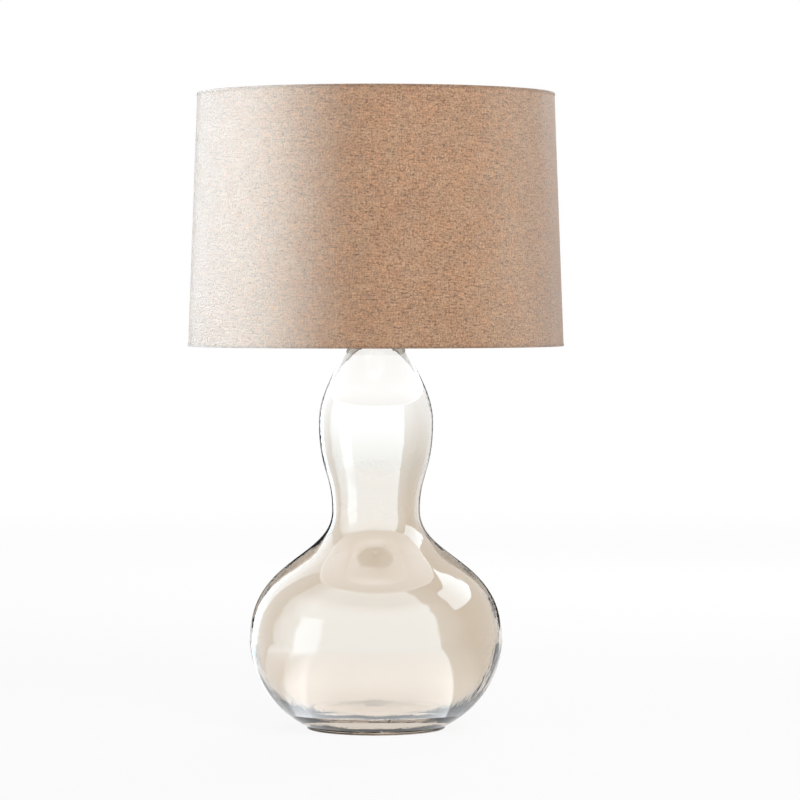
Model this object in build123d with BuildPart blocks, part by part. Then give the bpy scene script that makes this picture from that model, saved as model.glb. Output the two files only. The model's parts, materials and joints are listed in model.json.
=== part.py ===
"""A table lamp: a blown glass gourd, a turn-knob socket with a harp, and a tapered linen drum shade.

Millimetres, Z up. The table top is Z = 0 and the lamp's own axis is the Z axis. The switch faces the
front, -Y, the cord leaves at the back, +Y, and the harp's two legs stand left and right, along X.
"""

from build123d import *
import os
from math import atan, cos, degrees, radians, sin

os.makedirs("parts", exist_ok=True)

# ---------------------------------------------------------------- glass gourd
foot_radius = 70.5  # the low disc foot that the belly sits on
foot_height = 2.6
foot_edge_radius = 1.1
foot_ring_width = 20.0  # the flat ring that stands on the table
foot_recess = 2.5  # the underside is pushed up inside the ring
foot_pull = 62.0  # how far the outline runs out from the foot before it turns up
foot_angle = 26.5  # the outline leaves the foot at this angle
belly_radius = 128.5
belly_height = 90.4
belly_low_pull = 8.0  # upright reach of the curve below the belly's widest point
belly_top_pull = 83.5
waist_radius = 44.5
waist_height = 222.0
waist_low_pull = 49.0
waist_top_pull = 37.5
lobe_radius = 58.0  # the small upper lobe
lobe_height = 312.0
lobe_low_pull = 50.0
lobe_top_pull = 41.0
neck_radius = 21.0
neck_base_height = 406.0  # the neck is straight above this
neck_low_pull = 16.0
neck_bare = 1.0  # straight neck left bare below the cap
belly_wall = 4.0
waist_wall = 4.5
lobe_wall = 3.5
neck_wall = 4.0
base_thickness = 14.0  # the glass pools in the bottom
cavity_floor_radius = 63.0
cavity_floor_rise = 2.0  # the cavity's floor is a low dome
cavity_pull = 56.0
cavity_angle = 12.0
cavity_low_pull = 5.0

# ---------------------------------------------------------------- neck cap and cord gland
cap_wall = 1.2
cap_overlap = 11.0  # how far the skirt reaches down over the glass neck
cap_chamber = 20.0  # from the glass rim to the cap's top face
cap_shoulder_radius = 7.0
cap_bead_radius = 0.9
cement_gap = 3.0  # between the glass neck and the skirt
cement_lip = 1.0
cord_bore_radius = 3.3
gland_barrel_radius = 4.7
gland_flange_radius = 6.4
gland_flange_thickness = 1.6
gland_inner_reach = 3.0
gland_lip_fillet = 0.4
fit_gap = 0.1  # between pieces that are pushed or screwed together

# ---------------------------------------------------------------- nipple, nuts and harp saddle
nipple_radius = 4.8
nipple_bore_radius = 3.2
nipple_tail = 2.5  # below the lower nut
nut_flats = 14.3
nut_thickness = 3.2
nut_chamfer = 0.5
check_ring_radius = 10.5
check_ring_thickness = 1.5
saddle_strip = 1.6
saddle_width = 16.0
saddle_flat = 13.0  # half length of the flat foot
saddle_rise = 6.0  # from the flat foot to the foot of the upright tab
saddle_bend_radius = 3.0
tab_width = 6.6
tab_shoulder_height = 10.0  # above the saddle's underside
tab_height = 23.0  # above the saddle's underside
leg_spacing = 60.0  # between the centres of the harp's two legs

# ---------------------------------------------------------------- harp
harp_height = 178.0  # from the saddle's underside to the seat that carries the shade
harp_wire_radius = 1.8
harp_half_width = 57.0
harp_straight = 26.0  # upright run of each leg above its collar
harp_flare = 32.0  # height over which a leg flares out
harp_shoulder_drop = 34.0
harp_shoulder_run = 21.0
harp_low_bend = 20.0
harp_shoulder_bend = 26.0
harp_top_bend = 16.0
collar_radius = 3.9
collar_height = 3.0
collar_cone = 1.6
tongue_gap = 0.15  # between the tongue and the tab that it lies against
eye_length = 26.0
eye_width = 13.0
eye_thickness = 2.4
ferrule_wall = 1.25
ferrule_play = 0.3  # between the ferrule and what it slides over
ferrule_height = 19.0
ferrule_lid = 1.4
ferrule_bead = 0.5
stud_thread_radius = 3.1
stud_shank_radius = 3.0
stud_thread_length = 15.5
stud_flange_radius = 7.5
stud_flange_thickness = 1.5
rivet_head_radius = 4.6
rivet_head_thickness = 1.0

# ---------------------------------------------------------------- socket
socket_height = 58.0
shell_radius = 16.6
shell_sheet = 0.5
shell_lap = 4.5  # how far the shell reaches down inside the cap's rim
shell_bead = 0.7
shell_bead_pitch = 26.0
socket_cap_height = 20.0
socket_cap_hub_radius = 7.4
socket_cap_hub_height = 8.0
socket_cap_sheet = 0.8
socket_cap_rise = 3.0  # of the dish from the hub to the rim
socket_cap_bend = 3.0
grub_screw_radius = 1.5
grub_screw_length = 4.4
liner_sheet = 0.8
mould_radius = 14.8  # the moulded switch block
mould_height = 14.0
mould_lift = 1.0  # from the shell's lower edge
mould_flat = 11.0  # from the axis to the flats that carry the terminal screws
screw_shell_bore = 13.45
screw_shell_sheet = 0.4
screw_shell_length = 25.0
contact_hole_radius = 6.5
contact_width = 6.0
contact_sheet = 0.5
contact_span = 10.0
terminal_head_radius = 2.9
terminal_head_thickness = 1.4
terminal_shank_radius = 1.6
terminal_shank_length = 4.0
terminal_plate_sheet = 0.8
terminal_plate_width = 7.0
slot_width = 0.8
slot_depth = 0.6

# ---------------------------------------------------------------- switch
stem_radius = 1.7
stem_play = 0.08
stem_hole_play = 0.6
stem_height = 26.0  # above the socket's foot
stem_inner_reach = 7.0  # from the lamp's axis
knob_gap = 2.2  # between the shell and the knob
knob_length = 15.0
knob_radius = 6.2
knob_tip_radius = 5.2
knob_rib_count = 12
knob_rib_radius = 0.9
knob_dome = 1.4
knob_bore_depth = 10.0

# ---------------------------------------------------------------- light bulb
bulb_length = 107.0
bulb_radius = 30.0
bulb_crown_height = 77.0  # height of the widest place above the bulb's contact
bulb_neck_low_pull = 26.0
bulb_crown_low_pull = 20.0
bulb_crown_pull = 0.552  # share of the crown's own size that makes it round
bulb_glass = 1.0
bulb_seat_depth = 24.0  # from the socket's mouth down to the bulb's contact
bulb_base_radius = 13.05
bulb_base_height = 26.5
bulb_base_sheet = 0.4
bulb_base_step = 6.0  # height of the brass above the contact
bulb_base_taper = 3.5
bulb_contact_radius = 4.8
bulb_contact_height = 1.4
bulb_glass_seat = 8.0  # how far the glass neck reaches down inside the brass
bulb_stem_radius = 3.4
bulb_stem_flare = 19.0  # height of the flare that joins the stem to the glass neck
bulb_stem_height = 62.0
lead_radius = 0.45
lead_spread = 13.0
lead_rise = 16.0
lead_foot = 2.2
filament_radius = 0.7
filament_sag = 6.0
touch_gap = 0.3  # between the bulb's contact and the socket's

# ---------------------------------------------------------------- shade
shade_height = 255.0
shade_bottom_radius = 190.5
shade_taper = 9.5  # how much smaller the top edge's radius is
cover_thickness = 0.9
liner_thickness = 0.6
ring_wire_radius = 1.6
spider_drop = 27.0  # from the shade's top edge down to the seat on the harp
spider_arms = 3
spider_bend = 8.0
hub_radius = 16.0
hub_hole_radius = 5.6
hub_thickness = 1.6
arm_tab_start = 11.0
arm_tab_length = 8.5
arm_tab_width = 6.0
trim_thickness = 0.45
trim_outer_leg = 2.0
trim_roll = 0.4  # the fold's rounded corners

# ---------------------------------------------------------------- finial
finial_flange_radius = 8.4
finial_flange_height = 2.0
finial_waist_radius = 4.9
finial_cup_radius = 6.6
finial_base_height = 17.0
finial_bore_play = 0.12
finial_knob_radius = 7.0
finial_peg_radius = 2.5
finial_peg_length = 4.0
finial_seat = 1.4  # how far the knob sinks into the cup

# ---------------------------------------------------------------- heights that follow from the stack
neck_top = neck_base_height + neck_bare + cap_overlap
cap_skirt_z = neck_top - cap_overlap
cap_inner_radius = neck_radius + cement_gap
cap_outer_radius = cap_inner_radius + cap_wall
cap_top = neck_top + cap_chamber
cord_z = neck_top + gland_barrel_radius + cement_lip + fit_gap
saddle_z = cap_top + check_ring_thickness
saddle_nut_z = saddle_z + saddle_strip
socket_z = saddle_nut_z + nut_thickness
socket_mouth = socket_z + socket_height
shell_z = socket_z + socket_cap_height - shell_lap
mould_z = shell_z + mould_lift
mould_top = mould_z + mould_height
stem_z = socket_z + stem_height
bulb_z = socket_mouth - bulb_seat_depth
bulb_neck_radius = bulb_base_radius - bulb_base_sheet - fit_gap
leg_x = leg_spacing / 2
tab_top = saddle_z + tab_height
tab_shoulder = saddle_z + tab_shoulder_height
tab_x = leg_x - saddle_strip / 2 - tongue_gap / 2 - saddle_strip / 2
tongue_x = tab_x + saddle_strip / 2 + tongue_gap
collar_top = tab_top + collar_height
harp_seat = saddle_z + harp_height
eye_top = harp_seat - stud_flange_thickness
eye_z = eye_top - eye_thickness
wire_top_z = eye_z + eye_thickness / 2
hub_top = harp_seat + hub_thickness
shade_top = harp_seat + spider_drop
shade_bottom = shade_top - shade_height
shade_top_radius = shade_bottom_radius - shade_taper
shade_slope = shade_taper / shade_height
wall_thickness = cover_thickness + liner_thickness


def save(piece, name):
    """Names a finished piece and writes it as its own file."""
    piece.part.label = name
    export_step(piece.part, f"parts/{name}.step")


# ================================================================ glass body


def gourd_side(foot, out_pull, out_angle, low_pull, belly, waist, lobe, neck):
    """One wall of the gourd, foot to neck, upright at the belly, the waist, the lobe and the neck."""
    foot_lead = (foot[0] + out_pull * cos(radians(out_angle)), foot[1] + out_pull * sin(radians(out_angle)))
    Bezier(foot, foot_lead, (belly, belly_height - low_pull), (belly, belly_height))
    Bezier(
        (belly, belly_height),
        (belly, belly_height + belly_top_pull),
        (waist, waist_height - waist_low_pull),
        (waist, waist_height),
    )
    Bezier(
        (waist, waist_height),
        (waist, waist_height + waist_top_pull),
        (lobe, lobe_height - lobe_low_pull),
        (lobe, lobe_height),
    )
    Bezier(
        (lobe, lobe_height),
        (lobe, lobe_height + lobe_top_pull),
        (neck, neck_base_height - neck_low_pull),
        (neck, neck_base_height),
    )


with BuildPart() as glass_body:
    with BuildSketch(Plane.XZ):
        with BuildLine():
            ring_outer = foot_radius - foot_edge_radius
            ring_inner = ring_outer - foot_ring_width
            TangentArc((0, foot_recess), (ring_inner, 0), tangent=(1, 0))
            Line((ring_inner, 0), (ring_outer, 0))
            RadiusArc((ring_outer, 0), (foot_radius, foot_edge_radius), -foot_edge_radius)
            Line((foot_radius, foot_edge_radius), (foot_radius, foot_height))
            gourd_side(
                (foot_radius, foot_height), foot_pull, foot_angle, belly_low_pull,
                belly_radius, waist_radius, lobe_radius, neck_radius,
            )
            rim_z = neck_top - neck_wall / 2
            bore_radius = neck_radius - neck_wall
            Line((neck_radius, neck_base_height), (neck_radius, rim_z))
            ThreePointArc((neck_radius, rim_z), (neck_radius - neck_wall / 2, neck_top), (bore_radius, rim_z))
            Line((bore_radius, rim_z), (bore_radius, neck_base_height))
            gourd_side(
                (cavity_floor_radius, base_thickness), cavity_pull, cavity_angle, cavity_low_pull,
                belly_radius - belly_wall, waist_radius - waist_wall, lobe_radius - lobe_wall, bore_radius,
            )
            floor_top = base_thickness + cavity_floor_rise
            TangentArc((0, floor_top), (cavity_floor_radius, base_thickness), tangent=(1, 0))
            Line((0, foot_recess), (0, floor_top))
        make_face()
    revolve(axis=Axis.Z)
save(glass_body, "glass_body")

# ================================================================ neck cap, its cement and the cord gland

with BuildPart() as cement_ring:
    with BuildSketch(Plane.XZ):
        with BuildLine():
            Polyline(
                (neck_radius, cap_skirt_z + cap_wall),
                (cap_inner_radius, cap_skirt_z + cap_wall),
                (cap_inner_radius, neck_top + cement_lip),
                (neck_radius - neck_wall / 2, neck_top + cement_lip),
                (neck_radius - neck_wall / 2, neck_top),
                (neck_radius, neck_top),
                close=True,
            )
        make_face()
    revolve(axis=Axis.Z)
save(cement_ring, "cement_ring")

with BuildPart() as neck_cap:
    with BuildSketch(Plane.XZ):
        with BuildLine():
            FilletPolyline(
                (cap_outer_radius, cap_skirt_z),
                (cap_outer_radius, cap_top),
                (nipple_radius + fit_gap, cap_top),
                radius=cap_shoulder_radius,
            )
            offset(amount=cap_wall, side=Side.LEFT)
        make_face()
        with Locations((cap_outer_radius, cap_skirt_z + cap_bead_radius)):
            Circle(cap_bead_radius)
    revolve(axis=Axis.Z)
    with Locations(Plane((0, 0, cord_z), z_dir=(0, 1, 0))):
        Cylinder(
            gland_barrel_radius + fit_gap, 2 * cap_outer_radius,
            align=(Align.CENTER, Align.CENTER, Align.MIN), mode=Mode.SUBTRACT,
        )
save(neck_cap, "neck_cap")

gland_inner_y = cap_inner_radius - gland_inner_reach
gland_outer_y = cap_outer_radius + gland_flange_thickness
gland_plane = Plane((0, gland_inner_y, cord_z), x_dir=(1, 0, 0), z_dir=(0, 1, 0))
with BuildPart() as cord_gland:
    with BuildSketch(gland_plane):
        Circle(gland_flange_radius)
    extrude(amount=gland_outer_y - gland_inner_y)
    # The flange is hollowed to lie against the round cap.
    with Locations((0, 0, cord_z)):
        Cylinder(cap_outer_radius, 4 * gland_flange_radius, mode=Mode.SUBTRACT)
    with BuildSketch(gland_plane):
        Circle(gland_barrel_radius)
    extrude(amount=gland_outer_y - gland_inner_y)
    fillet(cord_gland.edges().group_by(Axis.Y)[-1], gland_lip_fillet)
    with BuildSketch(gland_plane):
        Circle(cord_bore_radius)
    extrude(amount=gland_outer_y - gland_inner_y, mode=Mode.SUBTRACT)
save(cord_gland, "cord_gland")

# ================================================================ nipple, nuts, check ring and saddle


def hex_nut(name, z):
    """A thin nut on the nipple, standing on height z."""
    with BuildPart() as nut:
        with BuildSketch(Plane.XY.offset(z)):
            RegularPolygon(nut_flats / 2, 6, major_radius=False)
            Circle(nipple_radius + fit_gap, mode=Mode.SUBTRACT)
        extrude(amount=nut_thickness)
        hex_edges = nut.edges().filter_by(GeomType.LINE)
        chamfer(hex_edges.filter_by(Axis.Z, reverse=True), nut_chamfer)
    save(nut, name)


hex_nut("cap_nut", cap_top - cap_wall - nut_thickness)
hex_nut("saddle_nut", saddle_nut_z)

nipple_foot = cap_top - cap_wall - nut_thickness - nipple_tail
with BuildPart() as nipple:
    with BuildSketch(Plane.XY.offset(nipple_foot)):
        Circle(nipple_radius)
        Circle(nipple_bore_radius, mode=Mode.SUBTRACT)
    extrude(amount=socket_z + socket_cap_hub_height - nipple_foot)
    chamfer(nipple.edges().filter_by(GeomType.CIRCLE).sort_by(SortBy.RADIUS)[-2:], nut_chamfer)
save(nipple, "nipple")

with BuildPart() as check_ring:
    with BuildSketch(Plane.XY.offset(cap_top)):
        Circle(check_ring_radius)
        Circle(nipple_radius + fit_gap, mode=Mode.SUBTRACT)
    extrude(amount=check_ring_thickness)
    fillet(check_ring.edges().group_by(Axis.Z)[-1].sort_by(SortBy.RADIUS)[-1], nut_chamfer)
save(check_ring, "check_ring")

with BuildPart() as harp_saddle:
    with BuildSketch(Plane.XZ):
        with BuildLine():
            outer_x = tab_x + saddle_strip / 2
            tab_foot = saddle_z + saddle_rise
            FilletPolyline(
                (-outer_x, tab_top),
                (-outer_x, tab_foot),
                (-saddle_flat, saddle_z),
                (saddle_flat, saddle_z),
                (outer_x, tab_foot),
                (outer_x, tab_top),
                radius=saddle_bend_radius,
            )
            offset(amount=saddle_strip, side=Side.LEFT)
        make_face()
    extrude(amount=saddle_width / 2, both=True)
    shoulder_cut = (saddle_width - tab_width) / 2
    with BuildSketch(Plane.YZ):
        with GridLocations(saddle_width - shoulder_cut, 1, 2, 1):
            with Locations((0, (tab_shoulder + tab_top) / 2)):
                Rectangle(shoulder_cut, tab_top - tab_shoulder)
    extrude(amount=leg_spacing, both=True, mode=Mode.SUBTRACT)
    with BuildSketch(Plane.XY.offset(saddle_z)):
        Circle(nipple_radius + fit_gap)
    extrude(amount=saddle_strip, mode=Mode.SUBTRACT)
save(harp_saddle, "harp_saddle")

# ================================================================ harp

with BuildPart() as harp_loop:
    # One leg of bent wire, from its collar to the eye at the top.
    with BuildLine(Plane.XZ) as leg_path:
        flare_z = collar_top + harp_straight
        FilletPolyline(
            (leg_x, collar_top),
            (leg_x, flare_z),
            (harp_half_width, flare_z + harp_flare),
            (harp_half_width, wire_top_z - harp_shoulder_drop),
            (harp_half_width - harp_shoulder_run, wire_top_z),
            (eye_length / 2 - harp_wire_radius, wire_top_z),
            radius=(harp_low_bend, harp_low_bend, harp_shoulder_bend, harp_top_bend),
        )
    with BuildSketch(Plane((leg_x, 0, collar_top))):
        Circle(harp_wire_radius)
    sweep(path=leg_path.wires()[0])
    # The forged end: a collar that sits on the saddle's tab, and a half-round tongue beside the tab.
    with BuildSketch(Plane.XZ):
        with BuildLine():
            Polyline(
                (leg_x, tab_shoulder + tongue_gap),
                (leg_x + collar_radius, tab_shoulder + tongue_gap),
                (leg_x + collar_radius, collar_top - collar_cone),
                (leg_x + harp_wire_radius, collar_top),
                (leg_x, collar_top),
                close=True,
            )
        make_face()
    revolve(axis=Axis((leg_x, 0, 0), (0, 0, 1)))
    with BuildSketch(Plane.XY.offset(tab_shoulder)):
        with Locations((tongue_x - collar_radius, 0)):
            Rectangle(2 * collar_radius, 2 * collar_radius)
    extrude(amount=tab_top - tab_shoulder, mode=Mode.SUBTRACT)
    mirror(about=Plane.YZ)
    # The flattened eye that the stud is riveted through.
    with BuildSketch(Plane.XY.offset(eye_z)):
        RectangleRounded(eye_length, eye_width, eye_width / 2 - fit_gap)
    extrude(amount=eye_thickness)
    with BuildSketch(Plane.XY.offset(eye_z - harp_wire_radius)):
        Circle(stud_shank_radius + fit_gap)
    extrude(amount=2 * harp_wire_radius + eye_thickness, mode=Mode.SUBTRACT)
save(harp_loop, "harp_loop")

with BuildPart() as harp_stud:
    with BuildSketch(Plane.XZ):
        with BuildLine():
            stud_top = harp_seat + stud_thread_length
            Polyline(
                (0, eye_z - rivet_head_thickness),
                (rivet_head_radius - nut_chamfer, eye_z - rivet_head_thickness),
                (rivet_head_radius, eye_z - rivet_head_thickness + nut_chamfer),
                (rivet_head_radius, eye_z),
                (stud_shank_radius, eye_z),
                (stud_shank_radius, eye_top),
                (stud_flange_radius, eye_top),
                (stud_flange_radius, harp_seat),
                (stud_thread_radius, harp_seat),
                (stud_thread_radius, stud_top - nut_chamfer),
                (stud_thread_radius - nut_chamfer, stud_top),
                (0, stud_top),
                close=True,
            )
        make_face()
    revolve(axis=Axis.Z)
save(harp_stud, "harp_stud")


def ferrule(name, side):
    """The sleeve that locks one leg of the harp: side is 1 on the right and -1 on the left."""
    bore = collar_radius + ferrule_play
    skin = bore + ferrule_wall
    top = tab_shoulder + ferrule_height
    with BuildPart() as sleeve:
        with BuildSketch(Plane.XZ):
            with BuildLine():
                Polyline(
                    (leg_x + bore, tab_shoulder),
                    (leg_x + skin + ferrule_bead, tab_shoulder),
                    (leg_x + skin + ferrule_bead, tab_shoulder + 3 * ferrule_bead),
                    (leg_x + skin, tab_shoulder + 4 * ferrule_bead),
                    (leg_x + skin, top),
                    (leg_x + harp_wire_radius + ferrule_play, top),
                    (leg_x + harp_wire_radius + ferrule_play, top - ferrule_lid),
                    (leg_x + bore, top - ferrule_lid),
                    close=True,
                )
            make_face()
        revolve(axis=Axis((leg_x, 0, 0), (0, 0, 1)))
        fillet(sleeve.edges().group_by(Axis.Z)[-1].sort_by(SortBy.RADIUS)[-1], ferrule_wall / 2)
        if side < 0:
            mirror(about=Plane.YZ, mode=Mode.REPLACE)
    save(sleeve, name)


ferrule("ferrule_right", 1)
ferrule("ferrule_left", -1)

# ================================================================ socket

with BuildPart() as socket_cap:
    with BuildSketch(Plane.XZ):
        with BuildLine():
            rim_radius = shell_radius + fit_gap + socket_cap_sheet
            hub_z = socket_z + socket_cap_hub_height
            FilletPolyline(
                (nipple_radius + fit_gap, hub_z),
                (socket_cap_hub_radius, hub_z),
                (rim_radius, hub_z + socket_cap_rise),
                (rim_radius, socket_z + socket_cap_height),
                radius=(socket_cap_sheet, socket_cap_bend),
            )
            offset(amount=socket_cap_sheet, side=Side.LEFT)
        make_face()
        with BuildLine():
            Polyline(
                (nipple_radius + fit_gap, socket_z),
                (socket_cap_hub_radius, socket_z),
                (socket_cap_hub_radius, hub_z),
                (nipple_radius + fit_gap, hub_z),
                close=True,
            )
        make_face()
    revolve(axis=Axis.Z)
    with Locations(Plane((0, 0, socket_z + socket_cap_hub_height / 2), z_dir=(1, 0, 0))):
        Cylinder(
            grub_screw_radius + fit_gap, 2 * socket_cap_hub_radius,
            align=(Align.CENTER, Align.CENTER, Align.MIN), mode=Mode.SUBTRACT,
        )
save(socket_cap, "socket_cap")

grub_plane = Plane((nipple_radius, 0, socket_z + socket_cap_hub_height / 2), z_dir=(1, 0, 0))
with BuildPart() as grub_screw:
    with BuildSketch(grub_plane):
        Circle(grub_screw_radius)
    extrude(amount=grub_screw_length)
    with BuildSketch(grub_plane.offset(grub_screw_length)):
        Rectangle(slot_width, 2 * grub_screw_radius)
    extrude(amount=-slot_depth, mode=Mode.SUBTRACT)
save(grub_screw, "grub_screw")


def stem_clearance(radius):
    """Cuts the switch stem's way out of the front of a tube of the socket."""
    with Locations(Plane((0, 0, stem_z), z_dir=(0, -1, 0))):
        Cylinder(
            radius, 2 * shell_radius,
            align=(Align.CENTER, Align.CENTER, Align.MIN), mode=Mode.SUBTRACT,
        )


with BuildPart() as socket_shell:
    with BuildSketch(Plane.XZ):
        with Locations((shell_radius - shell_sheet / 2, (shell_z + socket_mouth) / 2)):
            Rectangle(shell_sheet, socket_mouth - shell_z)
        bead_top = socket_mouth - shell_bead
        with Locations((shell_radius, bead_top), (shell_radius, bead_top - shell_bead_pitch)):
            Circle(shell_bead)
        with Locations((shell_radius - shell_sheet - shell_bead, (shell_z + socket_mouth) / 2)):
            Rectangle(2 * shell_bead, socket_mouth - shell_z, mode=Mode.SUBTRACT)
    revolve(axis=Axis.Z)
    stem_clearance(stem_radius + stem_hole_play)
save(socket_shell, "socket_shell")

liner_radius = shell_radius - shell_sheet - fit_gap
with BuildPart() as insulating_sleeve:
    with BuildSketch(Plane.XY.offset(shell_z)):
        Circle(liner_radius)
        Circle(liner_radius - liner_sheet, mode=Mode.SUBTRACT)
    extrude(amount=socket_mouth - shell_z)
    stem_clearance(stem_radius + stem_hole_play)
save(insulating_sleeve, "insulating_sleeve")

with BuildPart() as switch_block:
    with BuildSketch(Plane.XY.offset(mould_z)):
        Circle(mould_radius)
        with Locations((mould_flat + mould_radius, 0), (-mould_flat - mould_radius, 0)):
            Rectangle(2 * mould_radius, 2 * mould_radius, mode=Mode.SUBTRACT)
    extrude(amount=mould_height)
    chamfer(switch_block.edges().group_by(Axis.Z)[0], nut_chamfer)
    stem_clearance(stem_radius + stem_play)
    terminal_z = mould_z + mould_height / 2
    with Locations(Plane((0, 0, terminal_z), z_dir=(1, 0, 0))):
        Cylinder(terminal_shank_radius + fit_gap, 2 * mould_radius, mode=Mode.SUBTRACT)
save(switch_block, "switch_block")

with BuildPart() as screw_shell:
    shell_outer = screw_shell_bore + screw_shell_sheet
    with BuildSketch(Plane.XY.offset(mould_top)):
        Circle(shell_outer)
        Circle(contact_hole_radius, mode=Mode.SUBTRACT)
    extrude(amount=screw_shell_sheet)
    with BuildSketch(Plane.XY.offset(mould_top)):
        Circle(shell_outer)
        Circle(screw_shell_bore, mode=Mode.SUBTRACT)
    extrude(amount=screw_shell_length)
save(screw_shell, "screw_shell")

with BuildPart() as centre_contact:
    with BuildSketch(Plane.XZ):
        with BuildLine():
            crown = bulb_z - touch_gap - contact_sheet
            ThreePointArc(
                (-contact_span / 2, mould_top), (0, crown), (contact_span / 2, mould_top)
            )
            offset(amount=contact_sheet, side=Side.LEFT)
        make_face()
        with Locations((0, mould_top)):
            below = (Align.CENTER, Align.MAX)
            Rectangle(2 * contact_span, 2 * contact_sheet, align=below, mode=Mode.SUBTRACT)
    extrude(amount=contact_width / 2, both=True)
save(centre_contact, "centre_contact")


def terminal(plate_name, screw_name, side):
    """A contact plate on one flat of the switch block, and the screw that holds the wire to it."""
    out = Plane((side * mould_flat, 0, mould_z + mould_height / 2), x_dir=(0, 1, 0), z_dir=(side, 0, 0))
    with BuildPart() as plate:
        with BuildSketch(out):
            Rectangle(terminal_plate_width, terminal_plate_width)
            Circle(terminal_shank_radius + fit_gap, mode=Mode.SUBTRACT)
        extrude(amount=terminal_plate_sheet)
    save(plate, plate_name)
    with BuildPart() as screw:
        with BuildSketch(out.offset(terminal_plate_sheet)):
            Circle(terminal_head_radius)
        extrude(amount=terminal_head_thickness)
        with BuildSketch(out.offset(terminal_plate_sheet)):
            Circle(terminal_shank_radius)
        extrude(amount=-terminal_shank_length)
        with BuildSketch(out.offset(terminal_plate_sheet + terminal_head_thickness)):
            Rectangle(slot_width, 2 * terminal_head_radius)
        extrude(amount=-slot_depth, mode=Mode.SUBTRACT)
    save(screw, screw_name)


terminal("hot_terminal_plate", "hot_terminal_screw", 1)
terminal("neutral_terminal_plate", "neutral_terminal_screw", -1)

# ================================================================ switch stem and knob

knob_y = shell_radius + shell_bead + knob_gap
front = Plane((0, 0, stem_z), x_dir=(1, 0, 0), z_dir=(0, -1, 0))
with BuildPart() as switch_stem:
    with BuildSketch(front.offset(stem_inner_reach)):
        Circle(stem_radius)
    extrude(amount=knob_y + knob_bore_depth - stem_inner_reach)
save(switch_stem, "switch_stem")

with BuildPart() as switch_knob:
    with BuildSketch(front.offset(knob_y)):
        Circle(knob_radius)
        with PolarLocations(knob_radius, knob_rib_count):
            Circle(knob_rib_radius)
    with BuildSketch(front.offset(knob_y + knob_length)):
        Circle(knob_tip_radius)
        with PolarLocations(knob_tip_radius, knob_rib_count):
            Circle(knob_rib_radius)
    loft()
    with BuildSketch(Plane.YZ):
        with BuildLine():
            tip_y = -knob_y - knob_length
            reach = knob_tip_radius + knob_rib_radius
            Line((tip_y, stem_z), (tip_y - knob_dome, stem_z))
            TangentArc((tip_y - knob_dome, stem_z), (tip_y, stem_z + reach - fit_gap), tangent=(0, 1))
            Line((tip_y, stem_z + reach - fit_gap), (tip_y, stem_z))
        make_face()
    revolve(axis=Axis((0, 0, stem_z), (0, 1, 0)))
    with BuildSketch(front.offset(knob_y)):
        Circle(stem_radius)
    extrude(amount=knob_bore_depth, mode=Mode.SUBTRACT)
save(switch_knob, "switch_knob")

# ================================================================ light bulb


def envelope_side(inset):
    """The bulb's outline from the foot of its neck to the top of its crown, inset by the glass."""
    neck = bulb_neck_radius - inset
    crown_radius = bulb_radius - inset
    crown_z = bulb_z + bulb_crown_height
    top_z = bulb_z + bulb_length - inset
    foot_z = bulb_z + bulb_base_height - bulb_glass_seat
    lip_z = bulb_z + bulb_base_height
    Line((neck, foot_z), (neck, lip_z))
    Bezier(
        (neck, lip_z),
        (neck, lip_z + bulb_neck_low_pull),
        (crown_radius, crown_z - bulb_crown_low_pull),
        (crown_radius, crown_z),
    )
    Bezier(
        (crown_radius, crown_z),
        (crown_radius, crown_z + bulb_crown_pull * (top_z - crown_z)),
        (bulb_crown_pull * crown_radius, top_z),
        (0, top_z),
    )


with BuildPart() as bulb_envelope:
    with BuildSketch(Plane.XZ):
        with BuildLine():
            envelope_side(0)
            envelope_side(bulb_glass)
            envelope_foot = bulb_z + bulb_base_height - bulb_glass_seat
            Line((bulb_neck_radius, envelope_foot), (bulb_neck_radius - bulb_glass, envelope_foot))
            Line((0, bulb_z + bulb_length), (0, bulb_z + bulb_length - bulb_glass))
        make_face()
    revolve(axis=Axis.Z)
save(bulb_envelope, "bulb_envelope")

with BuildPart() as bulb_base:
    with BuildSketch(Plane.XZ):
        with BuildLine():
            cone_radius = bulb_base_radius - bulb_base_taper
            cone_z = bulb_z + bulb_base_step - bulb_base_sheet
            side_z = bulb_z + bulb_base_step + bulb_base_taper
            Polyline(
                (cone_radius - bulb_base_sheet, cone_z),
                (cone_radius, cone_z),
                (bulb_base_radius, side_z),
                (bulb_base_radius, bulb_z + bulb_base_height),
                (bulb_base_radius - bulb_base_sheet, bulb_z + bulb_base_height),
                (bulb_base_radius - bulb_base_sheet, side_z),
                close=True,
            )
        make_face()
    revolve(axis=Axis.Z)
save(bulb_base, "bulb_base")

with BuildPart() as bulb_insulator:
    with BuildSketch(Plane.XZ):
        with BuildLine():
            insulator_radius = bulb_base_radius - bulb_base_taper - bulb_base_sheet
            seat_z = bulb_z + bulb_base_step - bulb_base_sheet
            Polyline(
                (0, bulb_z + bulb_contact_height),
                (bulb_contact_radius + bulb_base_sheet, bulb_z + bulb_contact_height),
                (insulator_radius, seat_z),
                (0, seat_z),
                close=True,
            )
        make_face()
    revolve(axis=Axis.Z)
save(bulb_insulator, "bulb_insulator")

with BuildPart() as bulb_contact:
    with BuildSketch(Plane.XZ):
        with BuildLine():
            contact_top = bulb_z + bulb_contact_height
            Line((0, bulb_z), (0, contact_top))
            Line((0, contact_top), (bulb_contact_radius, contact_top))
            TangentArc((0, bulb_z), (bulb_contact_radius, contact_top), tangent=(1, 0))
        make_face()
    revolve(axis=Axis.Z)
save(bulb_contact, "bulb_contact")

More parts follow.
